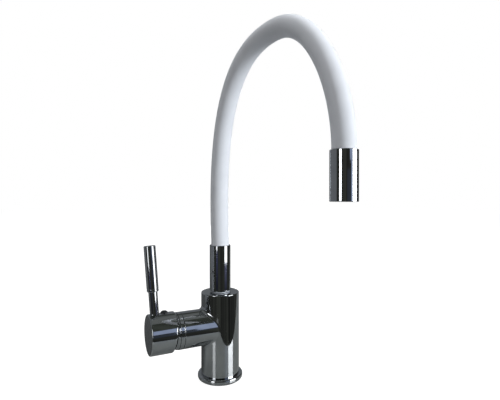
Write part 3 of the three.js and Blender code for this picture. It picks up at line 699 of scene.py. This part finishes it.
def add_body(materials):
    """The column and the arm as one casting, with the fillet between them and the bores inside."""
    top = measured("body_casting", TAP)[1]
    arm_end = measured("body_casting", ARM)[1]
    foot_height = measured("base_flange", TAP)[1] + SEAT_GAP
    socket_floor = measured("swivel_spigot", TAP)[0] - SEAT_GAP
    skin = Skin(TAP)

    band = column_band_rows(LARGE_ROUND, LARGE_ROUND)
    skin.rows(band)
    band_low, band_high = band[0][0][0][2], band[-1][0][0][2]
    skin.turned([(FOOT_RADIUS, 0), (FOOT_RADIUS, foot_height), (COLUMN_RADIUS, foot_height),
                 (COLUMN_RADIUS, band_low)], LARGE_ROUND, upright_ring)
    skin.turned([(COLUMN_RADIUS, band_high), (COLUMN_RADIUS, top, COLUMN_EDGE), (SOCKET_RADIUS, top),
                 (SOCKET_RADIUS, socket_floor), (0, socket_floor)], LARGE_ROUND, upright_ring)

    fillet = arm_fillet_rows(LARGE_ROUND)
    skin.rows(fillet)
    edge_start = arm_end - ARM_EDGE
    arm = []
    for step in range(ARM_STEPS + 1):
        share = step / ARM_STEPS
        arm.append([((x + (edge_start - x) * share, y, z), normal) for (x, y, z), normal in fillet[-1]])
    skin.rows(arm)
    skin.turned([(ARM_RADIUS, edge_start), (ARM_RADIUS, arm_end, ARM_EDGE), (CHAMBER_RADIUS, arm_end),
                 (CHAMBER_RADIUS, CHAMBER_FLOOR), (0, CHAMBER_FLOOR)], LARGE_ROUND, level_ring)

    foot = upright_ring(Vector((FOOT_RADIUS, 0)), Vector((0, 0)), LARGE_ROUND)
    rings = [[point for point, _ in foot[:-1]]]
    rings += [hole_walls(skin, hole, side) for hole in (INLET, STUD) for side in (-1, 1)]
    skin.plate(rings, (0, 0, -1))
    finished(skin.piece("body_plate"), "body", "chrome", materials["chrome"], "body_casting")


def quarter_curve(inner, outer, start, end, steps=CURVE_STEPS):
    """A quarter of an ellipse, from its outer radius at the start height to its inner radius at the end."""
    curve = []
    for step in range(steps + 1):
        angle = math.pi / 2 * step / steps
        radius = inner + (outer - inner) * math.cos(angle)
        curve.append((radius, start + (end - start) * math.sin(angle), None))
    return curve


def add_shroud(materials):
    ring_start, ring_end, ring_radius = measured("shroud_ring", ARM)
    ring_bore = ring_radius - SHROUD_RING_WALL
    ring = turned("shroud_ring_plate", ARM, [
        (ring_bore, ring_start),
        (ring_radius, ring_start, SHROUD_EDGE),
        (ring_radius, ring_end, SHROUD_EDGE),
        (ring_bore, ring_end),
    ], closed=True)
    finished(ring, "body", "chrome", materials["chrome"], "shroud_ring")

    _, dome_end, rim_radius = measured("arm_shroud", ARM)
    rim_start = ring_end + SEAT_GAP
    bore = SHROUD_SKIRT_RADIUS - SHROUD_WALL
    outer = quarter_curve(SHROUD_MOUTH_RADIUS, rim_radius - SHROUD_EDGE, SHROUD_RIM_END, dome_end)
    inner = quarter_curve(SHROUD_MOUTH_RADIUS, bore, SHROUD_RIM_END, dome_end - SHROUD_WALL)[::-1]
    shroud = turned("shroud_plate", ARM, [
        (SHROUD_SKIRT_RADIUS, rim_start),
        (rim_radius, rim_start, SHROUD_EDGE),
        (rim_radius, SHROUD_RIM_END - SHROUD_EDGE, SHROUD_EDGE / 2),
        *outer,
        *inner,
        (bore, ring_start),
        (SHROUD_SKIRT_RADIUS, ring_start),
    ], closed=True)
    finished(shroud, "body", "chrome", materials["chrome"], "arm_shroud")


def add_cap(materials):
    start, face, radius = measured("handle_cap", HANDLE)
    bore = radius - CAP_WALL
    lean = math.tan(CAP_RIM_SLANT)
    start += bore * lean
    middle = (start + CAP_BLOCK_START) / 2

    def leaning_ring(point, normal, steps):
        """A ring of the cap. Near the rear rim it leans: at the bottom the cap is cut back."""
        ring = upright_ring(point, normal, steps)
        return ring if point.y > middle else [((x, y, z - x * lean), way) for (x, y, z), way in ring]

    rim = quarter_curve(bore, radius, start + CAP_RIM_ROUND, start, CORNER_STEPS * 2)
    skin = Skin(HANDLE)
    skin.turned([
        *rim[::-1],
        (radius, face, CAP_FACE_ROUND),
        (0, face),
        (0, CAP_BLOCK_START),
        (bore, CAP_BLOCK_START),
    ], LARGE_ROUND, leaning_ring, closed=True)
    cap = skin.piece("cap_plate")
    tilt = Matrix.Rotation(-STEM_TILT, 4, HANDLE_UP.cross(ARM_WAY))
    stem_place = Matrix.Translation(PIVOT) @ tilt @ Matrix.Translation(-PIVOT) @ HANDLE
    hub = cylinder(stem_place, CAP_HUB["radius"], CAP_HUB["start"], CAP_BLOCK_START + CAP_OVERLAP)
    rib_length = CAP_BLOCK_START + CAP_OVERLAP - CAP_HUB["start"]
    rib_height = radius - CAP_WALL / 2
    rib_centre = (rib_height / 2, 0, CAP_HUB["start"] + rib_length / 2)
    rib = block(HANDLE, rib_height, CAP_RIB_WIDTH, rib_length, rib_centre)
    combined(cap, "UNION", hub, rib)

    rod_radius = measured("lever_rod", LEVER)[2]
    cover_radius = measured("set_screw_cover", cover_place())[2]
    socket = block(stem_place, STEM_SQUARE, STEM_SQUARE, STEM_SOCKET_END, (0, 0, STEM_SOCKET_END / 2))
    combined(
        cap,
        "DIFFERENCE",
        cylinder(LEVER, rod_radius + SEAT_GAP, -ROD_SUNK - SEAT_GAP, ROD_SUNK),
        cylinder(cover_place(), cover_radius + PIN_GAP, -COVER_SEAT_DEPTH, ROD_SUNK),
        socket,
    )
    finished(cap, "handle", "chrome", materials["chrome"], "handle_cap")


def cover_place():
    """The frame of the set screw's cover, with its origin at the cap's top."""
    return placed(PIVOT + ARM_WAY * COVER_REACH + HANDLE_UP * CAP_RADIUS, HANDLE_UP, ARM_WAY)


def add_cover(materials):
    low, high, radius = measured("set_screw_cover", cover_place())
    cover = turned("screw_cover", cover_place(), [
        (0, low),
        (radius, low),
        *quarter_curve(0, radius, 0, high),
    ], SMALL_ROUND)
    finished(cover, "handle", "cover", materials["cover"], "set_screw_cover")


def add_lever(materials):
    rod_low, rod_high, rod_radius = measured("lever_rod", LEVER)
    grip_start, grip_top, grip_radius = measured("lever_grip", LEVER)
    rod = turned("lever_rod_plate", LEVER, [
        (0, rod_low),
        (rod_radius, rod_low),
        (rod_radius, grip_start - SEAT_GAP),
        (TENON_RADIUS, grip_start - SEAT_GAP),
        (TENON_RADIUS, rod_high),
        (0, rod_high),
    ])
    finished(rod, "handle", "chrome", materials["chrome"], "lever_rod")

    groove_foot = grip_start + GROOVE["rise"]
    groove_top = groove_foot + GROOVE["height"]
    groove_radius = grip_radius - GROOVE["depth"]
    bore = TENON_RADIUS + SEAT_GAP
    grip = turned("lever_grip_plate", LEVER, [
        (bore, grip_start),
        (grip_radius, grip_start, GRIP_EDGE),
        (grip_radius, groove_foot, SEAT_GAP / 2),
        (groove_radius, groove_foot, SEAT_GAP / 2),
        (groove_radius, groove_top, SEAT_GAP / 2),
        (grip_radius, groove_top, SEAT_GAP / 2),
        (grip_radius, grip_top, GRIP_EDGE),
        (0, grip_top),
        (0, rod_high + SEAT_GAP),
        (bore, rod_high + SEAT_GAP),
    ], closed=True)
    finished(grip, "handle", "chrome", materials["chrome"], "lever_grip")


def screw_place():
    """The frame of the sleeve's grub screw: +Z points out of the sleeve."""
    way = Matrix.Rotation(SCREW_TURN - math.pi / 2, 3, "Z") @ SPOUT_WAY
    return placed(UP * SCREW_HEIGHT, way, UP)


def add_sleeve(materials):
    low, high, radius = measured("spout_sleeve", SPOUT)
    screw_low, screw_high, screw_radius = measured("sleeve_grub_screw", screw_place())
    bore = HOSE_RADIUS + SEAT_GAP
    sleeve = turned("sleeve_plate", SPOUT, [
        (bore, low),
        (radius, low, SLEEVE_FOOT_EDGE),
        (radius, high, SLEEVE_TOP_EDGE),
        (bore, high, SLEEVE_TOP_EDGE / 2),
    ], closed=True)
    hole_radius = screw_radius + PIN_GAP
    hole = cylinder(screw_place(), hole_radius, bore - screw_radius, radius + screw_radius, HOLE_ROUND)
    combined(sleeve, "DIFFERENCE", hole)
    finished(sleeve, "spout", "chrome", materials["chrome"], "spout_sleeve")

    screw = turned("grub_screw_steel", screw_place(), [
        (0, screw_low),
        (screw_radius, screw_low),
        (screw_radius, screw_high, PIN_GAP),
        (0, screw_high),
    ], HOLE_ROUND)
    socket_floor = screw_high - SCREW_SOCKET["depth"]
    socket = cylinder(screw_place(), SCREW_SOCKET["radius"], socket_floor, radius, SCREW_SOCKET["sides"])
    combined(screw, "DIFFERENCE", socket)
    finished(screw, "spout", "steel", materials["steel"], "sleeve_grub_screw")

    ring_low, ring_high, ring_radius = measured("swivel_glide_ring", SPOUT)
    glide = turned("glide_ring", SPOUT, [
        (SOCKET_RADIUS, ring_low),
        (ring_radius, ring_low, SEAT_GAP / 2),
        (ring_radius, ring_high, SEAT_GAP / 2),
        (SOCKET_RADIUS, ring_high),
    ], closed=True)
    finished(glide, "spout", "plastic", materials["plastic"], "swivel_glide_ring")


def bezier(a, b, c, d, steps):
    """Points and directions along a cubic curve."""
    line = []
    for step in range(steps + 1):
        t = step / steps
        s = 1 - t
        point = a * s ** 3 + b * 3 * s * s * t + c * 3 * s * t * t + d * t ** 3
        way = (b - a) * s * s + (c - b) * 2 * s * t + (d - c) * t * t
        line.append((point, way.normalized()))
    return line


def hose_line():
    """The hose's centre line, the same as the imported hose's, as points with directions."""
    packed = [vertex.co for vertex in frame["nodes"]["silicone_hose"].data.vertices]
    foot = min(point.z for point in packed)
    end = min(point.z for point in packed if SPOUT_WAY.dot(point) > CROWN_REACH)

    def at(reach, height):
        return SPOUT_WAY * reach + UP * height

    line = [(at(0, foot), UP)]
    line += bezier(
        at(0, SLEEVE_TOP),
        at(0, SLEEVE_TOP + RISER_PULL),
        at(CROWN_REACH - CROWN_INNER_PULL, CROWN_HEIGHT),
        at(CROWN_REACH, CROWN_HEIGHT),
        INNER_STEPS,
    )
    line += bezier(
        at(CROWN_REACH, CROWN_HEIGHT),
        at(CROWN_REACH + CROWN_OUTER_PULL, CROWN_HEIGHT),
        at(SPOUT_REACH, NOZZLE_TOP + OUTLET_PULL),
        at(SPOUT_REACH, NOZZLE_TOP),
        OUTER_STEPS,
    )[1:]
    line.append((at(SPOUT_REACH, end), -UP))
    return line


def tube(name, radius, bore, edge, sides):
    """A tube along the hose's centre line, with softened ends."""
    line = hose_line()
    across = UP.cross(SPOUT_WAY)

    def ring(place, way, reach):
        side = across.cross(way)
        points = []
        for k in range(sides + 1):
            angle = 2 * math.pi * (k % sides) / sides
            normal = across * math.cos(angle) - side * math.sin(angle)
            points.append((place + normal * reach, normal))
        return points

    first, last = line[0], line[-1]
    rings = [ring(first[0], first[1], bore), ring(first[0], first[1], radius - edge)]
    rings.append(ring(first[0] + first[1] * edge, first[1], radius))
    rings += [ring(place, way, radius) for place, way in line[1:-1]]
    rings.append(ring(last[0] - last[1] * edge, last[1], radius))
    rings.append(ring(last[0], last[1], radius - edge))
    rings += [ring(place, way, bore) for place, way in line[::-1]]
    skin = Skin(Matrix.Identity(4))
    skin.rows(rings)
    piece = skin.piece(name)
    piece.data.attributes.remove(piece.data.attributes["custom_normal"])
    piece.data.set_sharp_from_angle(angle=HOSE_SHARP_TURN)
    return piece


def add_hose(materials):
    """The smooth silicone hose, with the core and the water hose inside."""
    bore = HOSE_RADIUS - HOSE_WALL
    core_radius = bore - SEAT_GAP
    hose = tube("hose_silicone", HOSE_RADIUS, bore, HOSE_EDGE, HOSE_SIDES)
    core = tube("core_steel", core_radius, core_radius - CORE_WALL, SEAT_GAP, CORE_SIDES)
    water = tube("water_hose_rubber", WATER_HOSE["radius"], WATER_HOSE["bore"], SEAT_GAP, CORE_SIDES)
    for piece, slot, node in (
        (hose, "silicone", "silicone_hose"),
        (core, "steel", "gooseneck_core"),
        (water, "rubber", "water_hose"),
    ):
        finished(piece, None, slot, materials[slot], node)
        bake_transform(piece)


def add_nozzle(materials):
    low, high, radius = measured("nozzle_shell", OUTLET)
    aerator_low, aerator_high, aerator_radius = measured("aerator_housing", OUTLET)
    mouth = aerator_radius + SEAT_GAP
    nozzle = turned("nozzle_plate", OUTLET, [
        (mouth, low, SEAT_GAP),
        (radius, low, NOZZLE_EDGE),
        (radius, high, NOZZLE_EDGE),
        (HOSE_RADIUS + SEAT_GAP, high, SEAT_GAP),
        (HOSE_RADIUS + SEAT_GAP, NOZZLE_STEP_HEIGHT),
        (mouth, NOZZLE_STEP_HEIGHT),
    ], closed=True)
    finished(nozzle, "spout_tip", "chrome", materials["chrome"], "nozzle_shell")

    bore = aerator_radius - AERATOR_WALL
    lip = bore - AERATOR_LIP
    aerator = turned("aerator_plate", OUTLET, [
        (lip, aerator_low, SEAT_GAP),
        (aerator_radius, aerator_low, SEAT_GAP),
        (aerator_radius, aerator_high),
        (bore, aerator_high),
        (bore, aerator_low + AERATOR_LIP_HEIGHT),
        (lip, aerator_low + AERATOR_LIP_HEIGHT),
    ], closed=True)
    finished(aerator, "spout_tip", "chrome", materials["chrome"], "aerator_housing")


def add_insert(materials):
    """The aerator's insert, with its rings of round water holes."""
    low, high, radius = measured("aerator_insert", OUTLET)
    skin = Skin(OUTLET)
    skin.turned([(radius, low), (radius, high)], SMALL_ROUND, upright_ring)
    places = []
    for share, count in INSERT_RING_SHARES:
        for k in range(count):
            angle = 2 * math.pi * k / count
            places.append((share * radius * math.cos(angle), share * radius * math.sin(angle)))
    for height, way in ((low, -1), (high, 1)):
        rings = [upright_ring(Vector((radius, height)), Vector((0, 0)), SMALL_ROUND)]
        for x, y in places:
            rings.append(upright_ring(Vector((INSERT_HOLE_RADIUS, height)), Vector((0, 0)), HOLE_ROUND, x, y))
        skin.plate([[point for point, _ in ring[:-1]] for ring in rings], (0, 0, way))
    for x, y in places:
        ring = partial(upright_ring, x=x, y=y)
        skin.turned([(INSERT_HOLE_RADIUS, high), (INSERT_HOLE_RADIUS, low)], HOLE_ROUND, ring)
    finished(skin.piece("insert_acetal"), "spout_tip", "plastic", materials["plastic"], "aerator_insert")


def dress_nodes(materials):
    """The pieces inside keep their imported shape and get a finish."""
    for part in frame["record"]["subparts"]:
        node = frame["nodes"][part["node"]]
        node.data.materials.clear()
        node.data.materials.append(materials[part["material_slot"]])


def glow(name, low, high, strength, fade=None):
    """A studio card's material: it glows in two colours that change with the bearing from the tap.

    A fade is a pair of distances from the tap. From the first to the second the card brightens.
    """
    nodes = Nodes(name)
    nodes.tree.nodes.remove(nodes.shader)
    level = nodes.place((1, 1, 0))
    way = nodes.node("VectorMath", {0: level}, "Vector", operation="NORMALIZE")
    colour = nodes.ramp(nodes.noise(STREAK_SCALE, 3, way), low, high, start=0.35, end=0.65)
    if fade is not None:
        reach = nodes.node("VectorMath", {0: level}, "Value", operation="LENGTH")
        strength = nodes.range(reach, GLIMMER_START_GLOW, strength, *fade)
    emission = nodes.node("Emission", {"Color": colour, "Strength": strength}, "Emission")
    nodes.fill(nodes.tree.nodes["Material Output"], {"Surface": emission})
    return nodes.owner


def table_material():
    """The grey, slightly glossy table under the tap, as the metal shows it. Its faint glow is painted light."""
    nodes = Nodes("grey_table")
    colour = nodes.ramp(nodes.noise(scale=6, detail=3), (0.245, 0.258, 0.250), (0.290, 0.304, 0.292))
    colour = nodes.darker(colour, bearing(TABLE_DARK_SIDE), TABLE_DARK_SHARE)
    roughness = nodes.range(nodes.noise(scale=40, detail=3), low=0.10, high=0.14)
    return nodes.set(colour, roughness, Emission_Color=(0.95, 1.0, 0.98, 1), Emission_Strength=TABLE_PAINTED_GLOW)


def seen_by_metal_only(obj):
    """A studio card shows in reflections, and neither in the picture nor in the light."""
    obj.visible_camera = False
    obj.visible_diffuse = False
    obj.visible_transmission = False
    obj.visible_volume_scatter = False
    obj.visible_shadow = False


def bearing(degrees):
    """The level direction that many degrees to the right of the way to the camera."""
    return Matrix.Rotation(math.radians(degrees), 3, "Z") @ -CAMERA_BEARING


def card(name, start, end, low, high, distance, steps, material):
    """A curved card round the tap, between two bearings in degrees and two heights."""
    mesh = bpy.data.meshes.new(name)
    points, faces = [], []
    for step in range(steps + 1):
        way = bearing(start + (end - start) * step / steps) * distance
        points += [(way.x, way.y, low), (way.x, way.y, high)]
    for step in range(steps):
        faces.append((2 * step, 2 * step + 2, 2 * step + 3, 2 * step + 1))
    mesh.from_pydata(points, [], faces)
    mesh.materials.append(material)
    seen_by_metal_only(in_scene(name, mesh))


def sheet(name, corners, height, material):
    """A level sheet with corners at x and y in metres."""
    mesh = bpy.data.meshes.new(name)
    mesh.from_pydata([(x, y, height) for x, y in corners], [], [tuple(range(len(corners)))])
    mesh.materials.append(material)
    return in_scene(name, mesh)


def fan(start, end, near, far, steps=12):
    """Corners of a part of a ring round the tap, between two bearings and two distances."""
    ways = [bearing(start + (end - start) * step / steps) for step in range(steps + 1)]
    return [(way.x * near, way.y * near) for way in ways] + [(way.x * far, way.y * far) for way in ways[::-1]]


def add_cards():
    """The surroundings that the metal shows: a table with its front edge near the tap, and cards round it."""
    tones = {name: glow(name, *tone) for name, tone in TONES.items()}
    for name, (*extent, tone) in CARDS.items():
        card(name, *extent, tones[tone])
    for name, (corners, height, tone) in SHEETS.items():
        seen_by_metal_only(sheet(name, corners, height, tones[tone]))
    seen_by_metal_only(sheet("table", TABLE_CORNERS, LAYER * 3, table_material()))
    # Painted reflections of the windows on the floor, glowing sheets that only the metal shows
    for name, (start, end, far, full, low, high) in GLIMMERS.items():
        material = glow(name, low, high, 1, (GLIMMER_START, full))
        corners = fan(start, end, GLIMMER_START, far)
        seen_by_metal_only(sheet(name, corners, LAYER * 2, material))


def softbox(name, degrees, distance, low, high, width, power, colour):
    """A softbox at a bearing from the tap. The metal shows the cards instead of it.

    It stands and faces the tap, or lies flat and faces down where its two heights are the same.
    """
    stands = high > low
    light = bpy.data.lights.new(name, "AREA")
    light.shape = "RECTANGLE"
    light.size = width
    light.size_y = high - low if stands else width
    light.energy = power
    light.color = colour
    obj = in_scene(name, light)
    way = bearing(degrees)
    obj.location = way * distance + UP * (low + high) / 2
    obj.rotation_euler = way.to_track_quat("Z", "Y").to_euler() if stands else (0, 0, 0)
    obj.visible_glossy = False


def add_lights():
    for name, values in SOFTBOXES.items():
        softbox(name, *values)


def floor_material():
    """Pale and matt. It glows where it is seen, so that it is white but for the tap's shadow."""
    nodes = Nodes("pale_floor")
    mottle = nodes.node("TexNoise", {"Scale": FLOOR_NOISE_SCALE}, "Fac")
    colour = nodes.ramp(mottle, *FLOOR_TONES, start=0, end=1)
    strength = nodes.node("Math", {0: nodes.seen_directly(), 1: FLOOR_GLOW}, "Value", operation="MULTIPLY")
    nodes.fill(nodes.shader, {"Emission Color": (1, 1, 1, 1), "Emission Strength": strength})
    return nodes.set(colour, FLOOR_ROUGHNESS, Specular_IOR_Level=0)


def add_stage():
    floor = sheet("floor", FLOOR_CORNERS, 0, floor_material())


def add_world():
    nodes = Nodes("studio", "worlds")
    strength = nodes.range(nodes.seen_directly(), WORLD_FILL, 1.0, start=0, end=1)
    nodes.fill(nodes.tree.nodes["Background"], {"Color": (1, 1, 1, 1), "Strength": strength})
    bpy.context.scene.world = nodes.owner


def add_camera():
    data = bpy.data.cameras.new("camera")
    data.lens = CAMERA_LENS
    data.sensor_width = SENSOR_WIDTH
    data.clip_start = CAMERA_NEAR
    camera = in_scene("camera", data)
    camera.location = CAMERA_PLACE
    way = CAMERA_BEARING * math.cos(CAMERA_DIP) - UP * math.sin(CAMERA_DIP)
    camera.rotation_euler = way.to_track_quat("-Z", "Y").to_euler()
    bpy.context.scene.camera = camera


materials = {
    "chrome": chrome(),
    "brass": brass(),
    "steel": steel(),
    "silicone": silicone(),
    "rubber": rubber(),
    "plastic": acetal(),
    "ceramic": ceramic(),
    "cover": cover_plastic(),
}
dress_nodes(materials)
for add in (add_flange, add_body, add_shroud, add_cap, add_cover,
            add_lever, add_sleeve, add_hose, add_nozzle, add_insert):
    add(materials)

add_stage()
add_cards()
add_lights()
add_world()
add_camera()
bpy.context.scene.view_settings.view_transform = "Standard"
